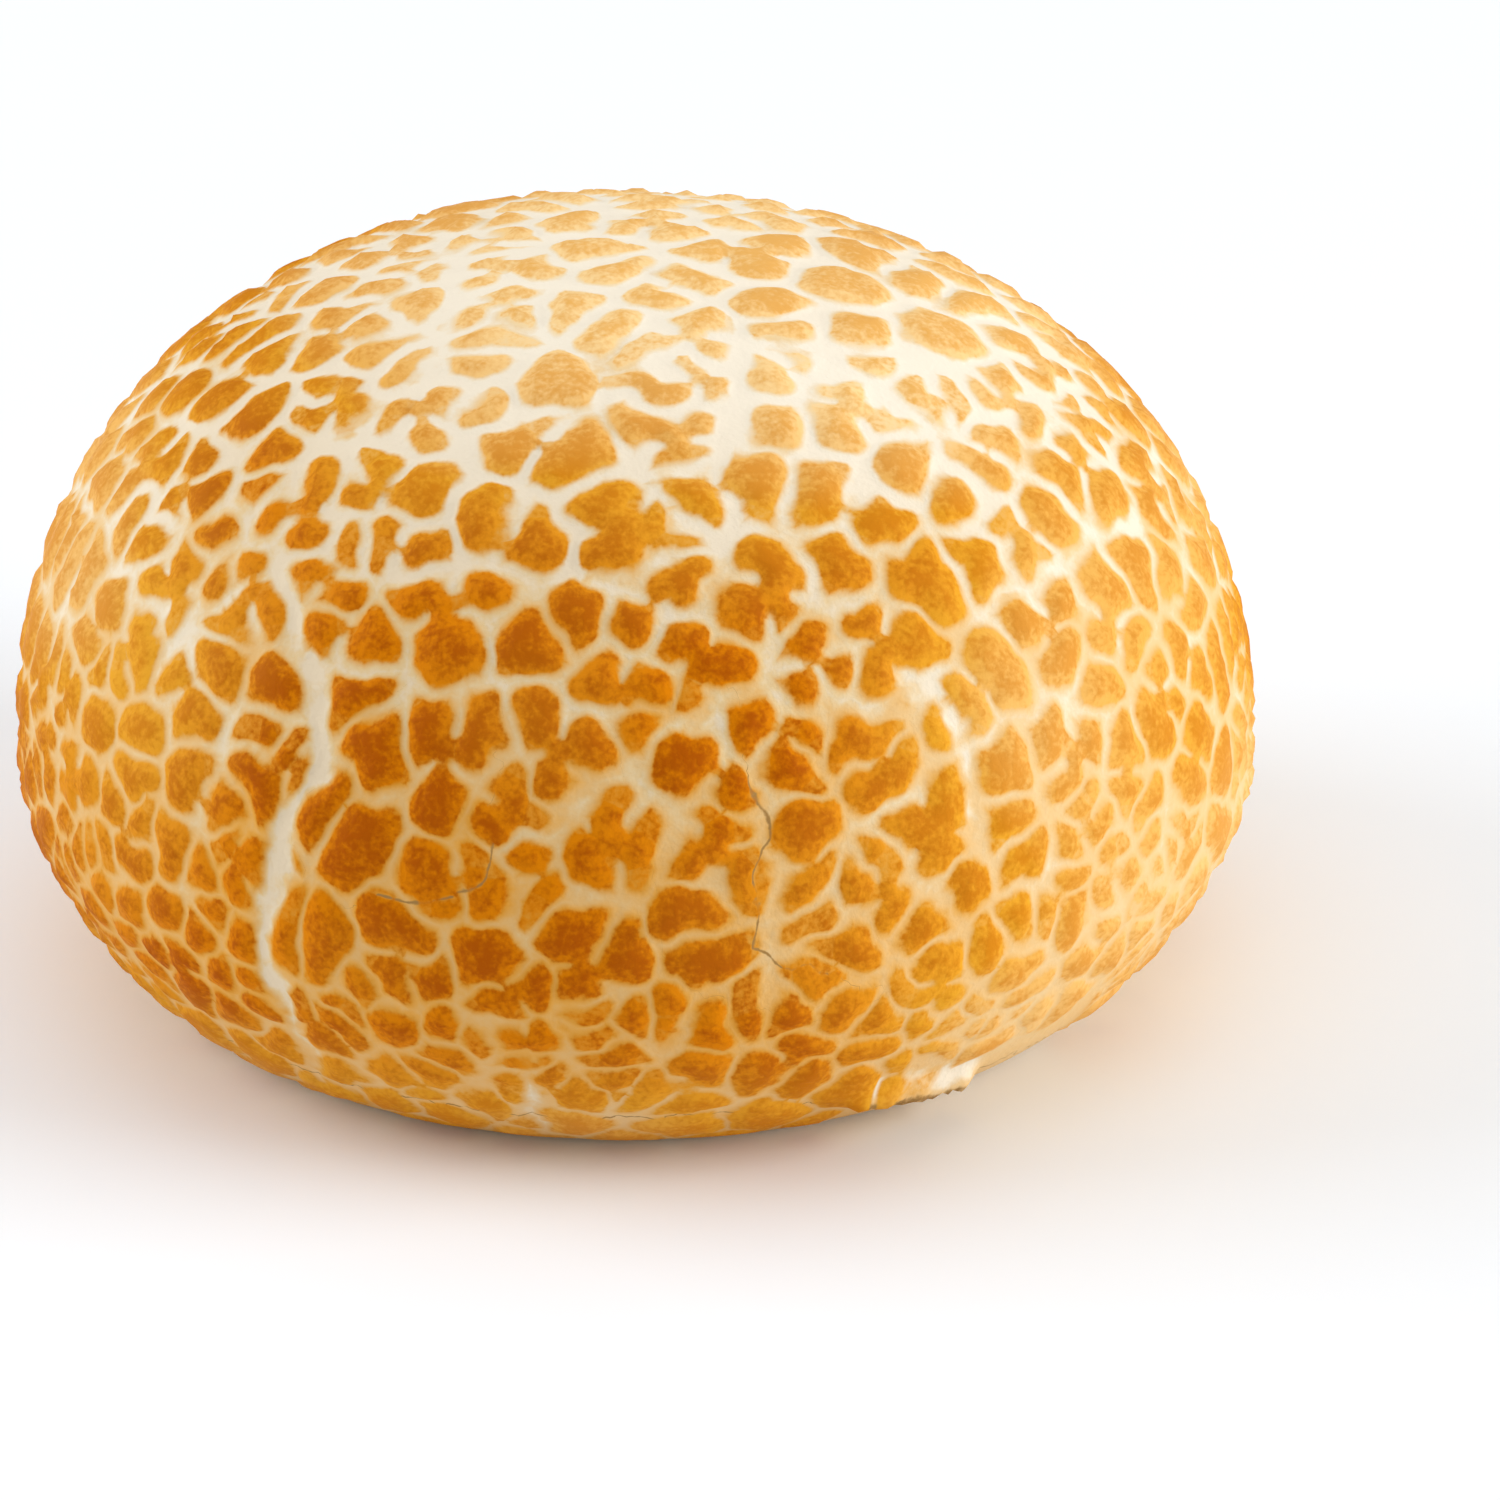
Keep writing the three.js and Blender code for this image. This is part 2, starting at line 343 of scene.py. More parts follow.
    def rows(self, spacing: float) -> Floats:
        """Lays rows of directions round the loaf from the crown to just above the foot.

        Args:
            spacing: Millimetres from one to the next.

        Returns:
            Unit vectors, one a row.
        """
        length = self.knot_arc[-1]
        count = round(length / (spacing * ROW_STEP))
        ways = []
        for arc in (np.arange(count) + self.first_row) * length / count:
            radius = float(np.interp(arc, self.knot_arc, self.knot_radius))
            around = max(1, round(2.0 * math.pi * radius / spacing))
            ways.append(self.ways(np.full(around, arc), np.arange(around) * 2.0 * math.pi / around))
        return np.concatenate(ways)


@dataclass
class Survey:
    """What the crust is like in some directions."""

    edge: Floats  # millimetres inside a plaque, negative in a crack
    middle: Floats  # millimetres from the line down the middle of the nearest crack, negative on one side
    width: Floats  # half width of the nearest crack
    hair: Floats  # millimetres from the nearest hairline, negative on one side
    plaque: Whole  # number of the plaque


@dataclass
class Paste:
    """The burst paste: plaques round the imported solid's middles, cracks between them and inlets into them.

    Rifts, hairlines and the bare skin along the foot cut across the plaques. Lengths are in millimetres.
    """

    loaf: Loaf
    middles: Floats
    lobe_chances: tuple[float, ...] = (0.1, 0.5)  # running chances of one lobe and two, the rest having three
    lobe_more: float = 0.2  # by which these chances move towards more lobes low down
    low_heights: Pair = (30.0, 18.0)  # between which that sets in
    lobe_throw: float = 0.3  # from a plaque's middle to its lobes', as a share of the way to the next plaques
    throw_least: float = 0.8  # share of that at the least
    throw_span: float = 0.4  # share of that which is left to chance
    lobe_stray: float = 0.4  # share of the angle from lobe to lobe by which one strays
    lobe_blend: float = 0.5  # over which lobes of one plaque run into each other
    crack_heights: tuple[float, ...] = (0.0, 8.0, 20.0, 40.0, 54.0, 64.0)  # at which widths are given
    crack_widths: tuple[float, ...] = (0.38, 0.41, 0.45, 0.61, 0.78, 0.92)  # usual half widths of the cracks
    crack_change: float = 0.22  # share by which the width of a crack or rift changes along it
    crack_run: float = 7.0  # over which a crack's width changes
    crack_least: float = 0.33  # half width of the narrowest cracks
    inlet_ends: Pair = (0.1, 1.4)  # how far short of the point between the lobes an inlet ends
    inlet_run: float = 1.0  # by which inlets run on low down, where they cut the plaques up
    least_wall: float = 0.7  # that two inlets leave between their ends
    rim_height: float = 8.5  # below which plaques are whole
    rounding: float = 0.4  # of the plaques' corners
    wanders: tuple[Pair, ...] = ((4.6, 0.6), (2.0, 0.2))  # of the borders: lengths and sizes
    neighbours: int = 10  # plaques, with itself, whose cracks can be near a plaque
    lobed_neighbours: int = 3  # plaques by whose distance a plaque's lobes are thrown
    part_size: int = 6000  # directions that are surveyed at once
    least_opening: float = 0.6  # between the ways to two plaques, so that borders far off stay far off
    rift_halves: tuple[float, ...] = (1.0, 0.8, 0.65, 0.8, 1.0, 0.9, 0.8, 0.8, 0.7, 0.7)  # half widths
    rift_taper: float = 0.35  # share of a rift's width that is left at its ends
    rift_run: float = 3.0  # over which a rift's width changes
    rift_shore: Pair = (0.2, -0.6)  # from a rift's edge, where a crack turns into it
    rifts: tuple[Run, ...] = (
        ((-50, 52), (-38, 56), (-29, 66), (-27, 72), (-30, 77), (-32, 88), (-30, 100), (-31.7, 107)),
        ((-49, 69), (-46, 62), (-40, 57)),
        ((-6, 75), (0, 69), (6, 66), (14, 63)),
        ((20, 66), (29, 65), (32, 69), (32, 80)),
        ((29, 21), (21, 32), (14, 40), (3, 43)),
        ((35, 26), (40, 30), (47, 42)),
        ((-114, 23), (-57, 20), (-38, 32), (-42, 42)),
        ((7, 46), (5, 51), (-4, 53)),
        ((42, 60), (53, 59)),
        ((-8, 96), (-8.5, 103), (-8.2, 112)),
    )  # the long rifts, each a run of places: degrees round from the front, and degrees down from the crown
    hair_half: float = 0.16  # half width of the fine cracks along the hairlines
    hairs: tuple[Run, ...] = (
        ((-11, 75), (-11, 79), (-14.5, 81), (-20.5, 82)),
        ((12, 70), (13, 75), (12, 79), (11, 85), (18, 88.5)),
    )  # where the skin itself has torn in a fine crack, drawn with a dark line of painted shade, placed as the rifts are
    bare_turns: Pair = (19.0, 58.0)  # degrees round where paste stops short of the foot
    bare_fade: float = 9.0  # degrees over which it comes down to the foot at either end
    bare_heights: Pair = (5.6, 8.4)  # up to which the skin is bare at one end and the other
    bare_change: float = 0.35  # share by which that height changes
    bare_run: float = 9.0  # over which it changes
    bare_depth: float = 0.45  # from the edge of the bare skin, as far as it counts
    bare_foot: float = 0.8  # up to which the skin is bare all round

    def __post_init__(self) -> None:
        """Places the lobes, and finds which plaques are near which."""
        self.compass = self.loaf.compass(self.middles)
        self.scales = self.loaf.scale(self.middles)
        self.near = (-(self.middles @ self.middles.T)).argsort(axis=1)[:, : self.neighbours]
        number = np.arange(len(self.middles), dtype=float)[:, None]
        height = self.loaf.height_of(self.middles)[:, None]
        order = np.arange(len(self.lobe_chances) + 1)[None, :]
        share = chance(number, ChanceOf.LOBE_COUNT) + self.lobe_more * ease(*self.low_heights, height)
        counts = 1 + np.digitize(share, self.lobe_chances)
        counts = np.where(height < self.rim_height, 1, counts)
        serial = LOBE_STRIDE * number + order
        stray = self.lobe_stray * (chance(serial, ChanceOf.LOBE_STRAY) - 0.5)
        angle = chance(number, ChanceOf.FIRST_LOBE) + (order + stray) / counts
        beside = self.middles[self.near[:, 1 : 1 + self.lobed_neighbours]]
        apart = np.linalg.norm(beside - self.middles[:, None], axis=2).mean(axis=1) * self.scales
        throw = self.lobe_throw * (self.throw_least + self.throw_span * chance(serial, ChanceOf.LOBE_THROW))
        self.lobes = self.beside(throw * apart[:, None] * (counts > 1), 2.0 * math.pi * angle)
        self.has_lobe = order < counts
        self.rift_legs, self.hair_legs = self.legs(self.rifts), self.legs(self.hairs)

    def legs(self, runs: tuple[Run, ...]) -> Legs:
        """Splits runs over the loaf into straight legs.

        Args:
            runs: Places along each run.

        Returns:
            Directions of each leg's ends, how far along their run they are, from 0 to 1, and its number.
        """
        ends, shares, numbers = [], [], []
        for number, run in enumerate(runs):
            turn, polar = np.radians(np.array(run, dtype=float)).T
            ways = round_axis(np.sin(polar), turn, np.cos(polar))
            along = np.concatenate([[0.0], np.cumsum(np.linalg.norm(np.diff(ways, axis=0), axis=1))])
            ends.append(np.stack([ways[:-1], ways[1:]], axis=1))
            shares.append(np.stack([along[:-1], along[1:]], axis=1) / along[-1])
            numbers.append(np.full(len(run) - 1, number))
        return np.concatenate(ends), np.concatenate(shares), np.concatenate(numbers)

    def beside(self, reach: Floats, angle: Floats) -> Floats:
        """Finds directions beside the plaques' middles.

        Args:
            reach: Millimetres from each middle, first by plaque.
            angle: Radians round it.

        Returns:
            Unit vectors, as many.
        """
        spread = (slice(None),) + (None,) * (reach.ndim - 1)
        right, down = (way[spread] for way in self.compass)
        step = (reach / self.scales[spread])[..., None]
        toward = np.cos(angle)[..., None] * right + np.sin(angle)[..., None] * down
        return unit(self.middles[spread] + step * toward)

    def survey(self, ways: Floats) -> Survey:
        """Finds out what the crust is like.

        Args:
            ways: Directions on the unit sphere.

        Returns:
            What it is like there.
        """
        count = max(1, len(ways) // self.part_size)
        parts = [self.survey_part(part) for part in np.array_split(ways, count)]
        names = ("edge", "middle", "width", "hair", "plaque")
        return Survey(*(np.concatenate([getattr(part, name) for part in parts]) for name in names))

    def survey_part(self, ways: Floats) -> Survey:
        """Finds out what the crust is like in not too many directions.

        Args:
            ways: Directions on the unit sphere.

        Returns:
            What it is like there.
        """
        scale = self.loaf.scale(ways)
        level = self.loaf.points(ways)
        bent = ways.copy()
        for i, (length, size) in enumerate(self.wanders):
            series = [RippleOf.BORDERS + 3 * i + axis for axis in range(3)]
            wander = np.stack([ripple(level, length, one) for one in series], axis=1)
            bent += wander * (size / scale)[:, None]
        bent = unit(bent)
        own, inside, middle, width = self.cells(bent)
        inlet, inlet_middle = self.inlets(bent, own, scale, width)
        rift, along, number = self.beside_legs(bent, scale, self.rift_legs)
        belly = np.sqrt(np.sin(math.pi * along).clip(0.0))
        rift_width = np.array(self.rift_halves)[number] * (self.rift_taper + (1.0 - self.rift_taper) * belly)
        rift_width *= 1.0 + self.crack_change * ripple(level, self.rift_run, RippleOf.RIFT_WIDTH)
        hair = self.beside_legs(bent, scale, self.hair_legs)[0]
        edges = np.stack([inside, inlet, np.abs(rift) - rift_width, self.bare(level)], axis=1)
        pick = edges.argmin(axis=1)
        middle = np.choose(pick, [middle, inlet_middle, rift, FAR])
        edge = np.minimum(soft_least(edges, self.rounding), np.abs(hair) - self.hair_half)
        width += (rift_width - width) * ease(*self.rift_shore, edges[:, 2])
        return Survey(edge, middle, width, hair, own)

    def beside_legs(self, bent: Floats, scale: Floats, legs: Legs) -> tuple[Floats, Floats, Whole]:
        """Finds out how far the nearest of some runs is.

        Args:
            bent: Directions on the unit sphere.
            scale: Millimetres of crust to a radian there.
            legs: The runs' legs.

        Returns:
            Millimetres from it, negative on one side, how far along it, from 0 to 1, and its number.
        """
        ends, shares, numbers = legs
        start, run = ends[:, 0], ends[:, 1] - ends[:, 0]
        ahead = bent[:, None] - start
        share = np.clip((ahead * run).sum(axis=2) / (run * run).sum(axis=1), 0.0, 1.0)
        gap = np.linalg.norm(ahead - share[..., None] * run, axis=2) * scale[:, None]
        rows, pick = np.arange(len(bent)), gap.argmin(axis=1)
        side = np.sign((bent * np.cross(start, ends[:, 1])[pick]).sum(axis=1))
        along = shares[pick, 0] + share[rows, pick] * (shares[pick, 1] - shares[pick, 0])
        return gap[rows, pick] * side, along, numbers[pick]

    def bare(self, level: Floats) -> Floats:
        """Finds out how far the bare skin along the foot is.

        Args:
            level: Points of the smooth loaf.

        Returns:
            Millimetres above it, negative on it.
        """
        turn = np.degrees(turn_of(level))
        low, high = self.bare_turns
        reach = np.interp(turn, self.bare_turns, self.bare_heights)
        reach *= ease(low, low + self.bare_fade, turn) * ease(high, high - self.bare_fade, turn)
        change = self.bare_change * ripple(level, self.bare_run, RippleOf.BARE_SKIN)
        reach = np.maximum(reach, self.bare_foot) * (1.0 + change)
        return np.maximum(level[:, 2] - reach, -self.bare_depth)

    def cells(self, bent: Floats) -> tuple[Whole, Floats, Floats, Floats]:
        """Finds out which plaque is where, and how far its cracks are.

        Args:
            bent: Directions on the unit sphere.

        Returns:
            Number of the plaque, millimetres inside it, millimetres from the middle of the nearest crack,
            negative on one side, and half width of that crack.
        """
        scale = self.loaf.scale(bent)[:, None, None]
        near = self.near[(bent @ self.middles.T).argmax(axis=1)]
        off = bent[:, None, None] - self.lobes[near]
        apart = np.linalg.norm(off, axis=3)
        toward = off / np.maximum(apart, TINY)[..., None]
        apart = np.where(self.has_lobe[near], apart * scale, FAR)
        weight = np.exp((apart.min(axis=2, keepdims=True) - apart) / self.lobe_blend)
        reach = apart.min(axis=2) - self.lobe_blend * np.log(weight.sum(axis=2))
        toward = (weight[..., None] * toward).sum(axis=2) / weight.sum(axis=2)[..., None]
        rows, pick = np.arange(len(bent)), reach.argmin(axis=1)
        own = near[rows, pick]
        opening = np.linalg.norm(toward - toward[rows, pick][:, None], axis=2)
        gap = (reach - reach[rows, pick][:, None]) / np.maximum(opening, self.least_opening)
        level = self.loaf.points(bent)
        half = np.interp(level[:, 2], self.crack_heights, self.crack_widths)
        change = self.crack_change * ripple(level, self.crack_run, RippleOf.CRACK_WIDTH)
        half = np.maximum(half * (1.0 + change), self.crack_least)
        gap[rows, pick] = FAR
        other = gap.argmin(axis=1)
        middle = gap[rows, other] * np.sign(own - near[rows, other])
        return own, soft_least(gap, self.rounding) - half, middle, half

    def inlets(self, bent: Floats, own: Whole, scale: Floats, half: Floats) -> tuple[Floats, Floats]:
        """Finds out how far the inlets between a plaque's lobes are, which run in to a blunt end.

        Args:
            bent: Directions on the unit sphere.
            own: Number of the plaque there.
            scale: Millimetres of crust to a radian there.
            half: Half width of an inlet there.

        Returns:
            Millimetres from the edge of the nearest inlet, and from its middle, negative on one side.
        """
        lobes = self.lobes[own]
        off = bent[:, None] - lobes
        apart = np.linalg.norm(off, axis=2)
        toward = off / np.maximum(apart, TINY)[..., None]
        apart = np.where(self.has_lobe[own], apart * scale[:, None], FAR)
        first = apart.min(axis=1)
        crowd = self.has_lobe[own].sum(axis=1) > 2
        low, high = self.inlet_ends
        run = self.inlet_run * ease(*self.low_heights, self.loaf.height_of(self.middles[own]))
        edges, gaps = [], []
        for i, j in combinations(range(lobes.shape[1]), 2):
            opening = np.linalg.norm(toward[:, i] - toward[:, j], axis=1)
            gap = (apart[:, i] - apart[:, j]) / np.maximum(opening, self.least_opening)
            beyond = np.minimum(apart[:, i], apart[:, j]) - first
            side = np.cross(bent, lobes[:, j] - lobes[:, i])
            side /= np.maximum(np.linalg.norm(side, axis=1), TINY)[:, None]
            centre = 0.5 * (lobes[:, i] + lobes[:, j])
            along = ((bent - centre) * side).sum(axis=1) * scale
            outer = np.sign(((centre - self.middles[own]) * side).sum(axis=1))
            serial = LOBE_STRIDE * (LOBE_STRIDE * own + i) + j
            series = ChanceOf.INLET_FROM_ONE_SIDE, ChanceOf.INLET_FROM_THE_OTHER
            one, other = (low + (high - low) * chance(serial, draw) - run for draw in series)
            other = np.where(one + other < 2.0 * self.crack_least + self.least_wall, -one, other)
            short = np.where(crowd & (outer < 0.0), FAR, one - along)
            short = np.minimum(short, np.where(crowd & (outer >= 0.0), FAR, other + along))
            edge = np.sqrt(np.maximum(short, 0.0) ** 2 + gap**2 + beyond**2) - half
            edges.append(np.where(self.has_lobe[own, j], edge, FAR))
            gaps.append(gap)
        rows, pick = np.arange(len(bent)), np.argmin(edges, axis=0)
        return soft_least(np.stack(edges, axis=1), self.rounding), np.stack(gaps, axis=1)[rows, pick]


@dataclass(frozen=True)
class BrowningAndPaintedLight:
    """How pale the crust is, partly from its browning and partly as painted light: least at the front, painted
    darker as shade, more at the lamp-lit sides and the foot, most at the crown, under a painted highlight.

    Places are in millimetres. Each pair gives where something sets in, and where it is full.
    """

    # painted light: the right side, lit by the key lamp, is painted paler, over a crust a little paler there
    right: float = 0.58
    right_across: Pair = (6.0, 36.0)
    right_low: float = 0.17  # by which the right is paler low down, as painted light from the key lamp
    right_low_heights: Pair = (32.0, 10.0)
    # painted light: the left side, lit by the fill lamp, is painted paler
    left: float = 0.6
    left_across: Pair = (22.0, 50.0)
    left_heights: Pair = (8.0, 40.0)
    left_high: float = 0.2  # by which the left is paler high up, as painted light from the fill lamp
    left_high_heights: Pair = (34.0, 50.0)
    # painted highlight: the crown glares under the overhead lamp and is painted palest, over a crust a little
    # paler there
    crown_heights: Pair = (44.0, 64.0)
    crown_lean: float = 0.12  # by which the pale crown, a painted highlight, reaches further down for each millimetre to the right, toward the key lamp
    # the foot is paler partly as a less browned rim and partly as painted bounce light from the floor
    foot: float = 0.5
    foot_heights: Pair = (16.0, 5.0)
    foot_side: float = 0.1  # by which the foot is paler at the sides
    foot_side_across: Pair = (10.0, 40.0)
    patch: float = 0.1  # by which patches differ
    patch_size: float = 26.0

    def paleness(self, level: Floats) -> Floats:
        """Says how pale the crust is, from its browning and from painted light and shade.

        Args:
            level: Points of the smooth loaf.

        Returns:
            Numbers of 0 for well browned and in painted shade to 1 for pale and under painted light, one a
            point.
        """
        across, height = level[:, 0], level[:, 2]
        right = self.right + self.right_low * ease(*self.right_low_heights, height)
        right *= ease(*self.right_across, across)
        left = self.left + self.left_high * ease(*self.left_high_heights, height)
        left *= ease(*self.left_across, -across) * ease(*self.left_heights, height)
        crown = ease(*self.crown_heights, height + self.crown_lean * across)
        foot = self.foot + self.foot_side * ease(*self.foot_side_across, np.abs(across))
        foot *= ease(*self.foot_heights, height)
        patches = self.patch * ripple(level, self.patch_size, RippleOf.BROWNING)
        return np.clip(np.max([right, left, crown, foot], axis=0) + patches, 0.0, 1.0)


@dataclass
class Crust:
    """The roll's outside: a fine mesh whose vertices follow the plaques' edges and the cracks' floors.

    Lengths are in millimetres. Each pair of places gives where something sets in, and where it is full.
    """

    loaf: Loaf
    # how pale the crust is painted: its browning, and painted light and shade from the lamps
    browning_and_painted_light: BrowningAndPaintedLight = BrowningAndPaintedLight()
    middle_lift: float = 0.08  # within which a packed vertex stands on the smooth loaf
    middle_height: float = 0.3  # above which it is not one of the foot's
    tries: float = 0.5  # between the places tried for vertices
    edge_spacing: float = 0.26  # between vertices along a plaque's edge
    floor_spacing: float = 0.3  # between vertices along a crack's floor
    plaque_spacing: float = 0.85  # between vertices inside a plaque
    plaque_places: Pair = (0.2, 1.0)  # inside an edge, where vertices thin out
    rim_spacing: float = 0.6  # between vertices along the foot
    edge_reach: float = 0.35  # from an edge, within which places move onto it
    edge_step: float = 0.3  # longest step towards an edge
    floor_reach: float = 0.15  # inside an edge, within which places move out onto a floor
    floor_least: float = -0.1  # inside an edge, as far as a floor has to be at the most
    slope_step: float = 0.04  # over which slopes are measured, and within which a place is on its line
    slope_least: float = 0.15  # square of the slope below which steps are held back
    settle_passes: int = 2
    swell: float = 0.15  # of the crust over the smooth loaf
    crown_swell: float = 0.35  # by which it stands higher at the crown
    crown_heights: Pair = (40.0, 60.0)
    foot_height: float = 3.0  # below which all this dies away to the foot
    wall: Pair = (-0.4, 0.45)  # inside an edge, where the crust rises from floor to plaque
    floor_depth: float = 0.45  # of a wide crack's floor below the plaques
    shallow: float = 0.5  # share of it in a narrow crack
    depth_widths: Pair = (0.2, 1.0)  # half widths of such cracks
    dome: float = 0.26  # of a plaque's middle above its edge
    dome_run: float = 0.7  # over which it rises
    grain: float = 0.05  # height of the paste's coarse grain
    grain_size: float = 1.6
    flake: float = 1.3  # by which the torn lip of the paste stands off near the foot
    lip_turns: Pair = (22.0, 38.0)  # degrees round between which it does
    lip_fades: Pair = (-1.0, 2.0)  # degrees in from either end, where it rises
    lip_heights: Pair = (5.2, 3.2)  # of the lip at one end and the other
    lip_rag: float = 0.4  # by which its height strays
    lip_rag_size: float = 2.6
    lip_over: Pair = (2.4, 0.3)  # above the lip, where it rises out of the crust
    lip_under: Pair = (-0.4, 0.1)  # above the lip, where it drops back
    crumb_over: Pair = (3.4, 2.4)  # above the lip, where pale crumb shows
    crumb_under: Pair = (0.8, 1.3)  # above the lip, where that ends
    painted_lip_shade_height: float = 0.45  # above the lip, of the dark line of painted shade along its torn edge
    painted_lip_shade_share: float = 0.35  # by which its distances count, so that it is wider than a hairline
    painted_lip_shade_end: float = 0.3  # by which it is further off where there is no lip
    open_widths: Pair = (0.3, 0.95)  # half widths of cracks that are barely and fully open
    underside_spacing: float = 2.4  # between vertices of the bottom
    underside_growth: float = 1.25  # from row to row
    underside: dict[Mark, float] = field(
        default_factory=lambda: dict(zip(Mark, (-0.6, 0.3, FAR, 0.5, 0.35)))
    )  # what the bare, baked bottom tells the shader

    def plaque_middles(self, solid: bpy.types.Object) -> Floats:
        """Reads the plaques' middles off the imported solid: the only vertices that stand on the smooth loaf.

        Args:
            solid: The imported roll.

        Returns:
            Unit vectors, one a plaque.
        """
        flat = np.empty(3 * len(solid.data.vertices))
        solid.data.vertices.foreach_get("co", flat)
        corners = np.unique(np.round(flat.reshape(-1, 3) / MM, 3), axis=0)
        ways, lift = self.loaf.unroll(corners)
        return ways[(np.abs(lift) < self.middle_lift) & (corners[:, 2] > self.middle_height)]

    def settle(self, paste: Paste, ways: Floats, line: Line, most: float) -> Floats:
        """Moves directions onto a line of the crust.

        Args:
            paste: The paste.
            ways: Directions on the unit sphere, not far from the line.
            line: The line.
            most: Longest step in millimetres.

        Returns:
            The directions that got there.
        """
        for _ in range(self.settle_passes):
            scale = self.loaf.scale(ways)
            compass = self.loaf.compass(ways)
            value = getattr(paste.survey(ways), line.value)
            slopes = []
            for toward in compass:
                beside = unit(ways + toward * (self.slope_step / scale)[:, None])
                slopes.append((getattr(paste.survey(beside), line.value) - value) / self.slope_step)
            steep = np.sqrt(np.maximum(slopes[0] ** 2 + slopes[1] ** 2, self.slope_least))
            step = np.clip(-value / steep, -most, most) / steep / scale
            uphill = slopes[0][:, None] * compass[0] + slopes[1][:, None] * compass[1]
            ways = unit(ways + step[:, None] * uphill)
        return ways[np.abs(getattr(paste.survey(ways), line.value)) < self.slope_step]

    def thin(self, groups: list[tuple[Floats, Floats | float]]) -> Floats:
        """Keeps directions that are not too close together, those of earlier groups first.

        Args:
            groups: Directions, and how far each has to be from those that are kept already.

        Returns:
            The directions that are kept.
        """
        cell = 0.5 * self.plaque_spacing
        kept: dict[tuple[int, int, int], list[tuple[float, float, float]]] = {}
        chosen = []
        for ways, spacing in groups:
            points = self.loaf.points(ways)
            spaces = np.broadcast_to(np.asarray(spacing, dtype=float), len(ways)).tolist()
            cells = np.floor(points / cell).astype(int).tolist()
            stays = []
            for (x, y, z), (i, j, k), space in zip(points.tolist(), cells, spaces):
                reach = math.ceil(space / cell)
                span = range(-reach, reach + 1)
                near = (kept.get((i + a, j + b, k + c), ()) for a in span for b in span for c in span)
                others = (spot for spots in near for spot in spots)
                free = all((x - u) ** 2 + (y - v) ** 2 + (z - w) ** 2 > space**2 for u, v, w in others)
                stays.append(free)
                if free:
                    kept.setdefault((i, j, k), []).append((x, y, z))
            chosen.append(ways[np.array(stays, dtype=bool)])
        return np.concatenate(chosen)

    def vertices(self, paste: Paste) -> tuple[Floats, int]:
        """Chooses the crust's vertices.

        Args:
            paste: The paste.

        Returns:
            Directions of the vertices, and how many of them, the first ones, go round the foot.
        """
        around = round(2.0 * math.pi * self.loaf.foot_radius / self.rim_spacing)
        turn = math.pi + np.arange(around) * 2.0 * math.pi / around
        rim = self.loaf.ways(np.full(around, self.loaf.knot_arc[-1]), turn)
        tried = self.loaf.rows(self.tries)
        survey = paste.survey(tried)
        edges = self.settle(paste, tried[np.abs(survey.edge) < self.edge_reach], Line.EDGE, self.edge_step)
        floors = self.settle(paste, tried[survey.edge < self.floor_reach], Line.MIDDLE, self.tries)
        floors = floors[paste.survey(floors).edge < self.floor_least]
        hairs = self.settle(paste, tried[np.abs(survey.hair) < self.tries], Line.HAIR, self.tries)
        space = self.tries + (self.plaque_spacing - self.tries) * ease(*self.plaque_places, survey.edge)
        lines = [(ways, self.floor_spacing) for ways in (rim, hairs, floors)]
        return self.thin([*lines, (edges, self.edge_spacing), (tried, space)]), around

    def lifts(self, survey: Survey, level: Floats) -> Floats:
        """Raises the plaques over the cracks.

        Args:
            survey: What the crust is like at the vertices.
            level: Points of the smooth loaf.

        Returns:
            Millimetres out from the smooth loaf, one a vertex.
        """
        raised = ease(*self.wall, survey.edge)
        wide = ease(*self.depth_widths, survey.width)
        depth = self.floor_depth * (self.shallow + (1.0 - self.shallow) * wide)
        dome = self.dome * (1.0 - np.exp(-np.maximum(survey.edge, 0.0) / self.dome_run))
        grain = self.grain * raised * ripple(level, self.grain_size, RippleOf.GRAIN)
        fade = ease(0.0, self.foot_height, level[:, 2])
        above, share = self.lip(level)
        torn = share * ease(*self.lip_over, above) * ease(*self.lip_under, above)
        swell = self.swell + self.crown_swell * ease(*self.crown_heights, level[:, 2])
        return (swell - depth * (1.0 - raised) + dome + grain) * fade + self.flake * torn

    def lip(self, level: Floats) -> tuple[Floats, Floats]:
        """Finds the torn lip of the paste near the foot.

        Args:
            level: Points of the smooth loaf.

        Returns:
            Millimetres above the lip, and how much of it there is, from 0 to 1.
        """
        turn = np.degrees(turn_of(level))
        rag = self.lip_rag * ripple(level, self.lip_rag_size, RippleOf.LIP)
        above = level[:, 2] - np.interp(turn, self.lip_turns, self.lip_heights) + rag
        start, end = self.lip_turns
        out, full = self.lip_fades
        return above, ease(start + out, start + full, turn) * ease(end - out, end - full, turn)

    def marks(self, survey: Survey, level: Floats) -> dict[Mark, Floats]:
        """Works out what the mesh tells the shader.

        Args:
            survey: What the crust is like at the vertices.
            level: Points of the smooth loaf.

        Returns:
            Numbers for each mark, one a vertex.
        """
        above, share = self.lip(level)
        crumb = share * ease(*self.crumb_under, above) * ease(*self.crumb_over, above)
        # painted shade: a dark line along the torn lip, drawn in the hairline colour
        off = above - self.painted_lip_shade_height
        painted_lip_shade = self.painted_lip_shade_share * off + self.painted_lip_shade_end * (1.0 - share) * np.sign(off)
        return {
            Mark.EDGE: survey.edge,
            Mark.OPEN: np.maximum(ease(*self.open_widths, survey.width), crumb),
            # the dark lines of painted shade: hairlines, and the torn lip wherever it is nearer
            Mark.HAIR: np.where(np.abs(painted_lip_shade) < np.abs(survey.hair), painted_lip_shade, survey.hair),
            Mark.TONE: chance(survey.plaque.astype(float), ChanceOf.PLAQUE_TONE),
            # paleness: browning together with painted light and shade
            Mark.PALE: self.browning_and_painted_light.paleness(level),
        }

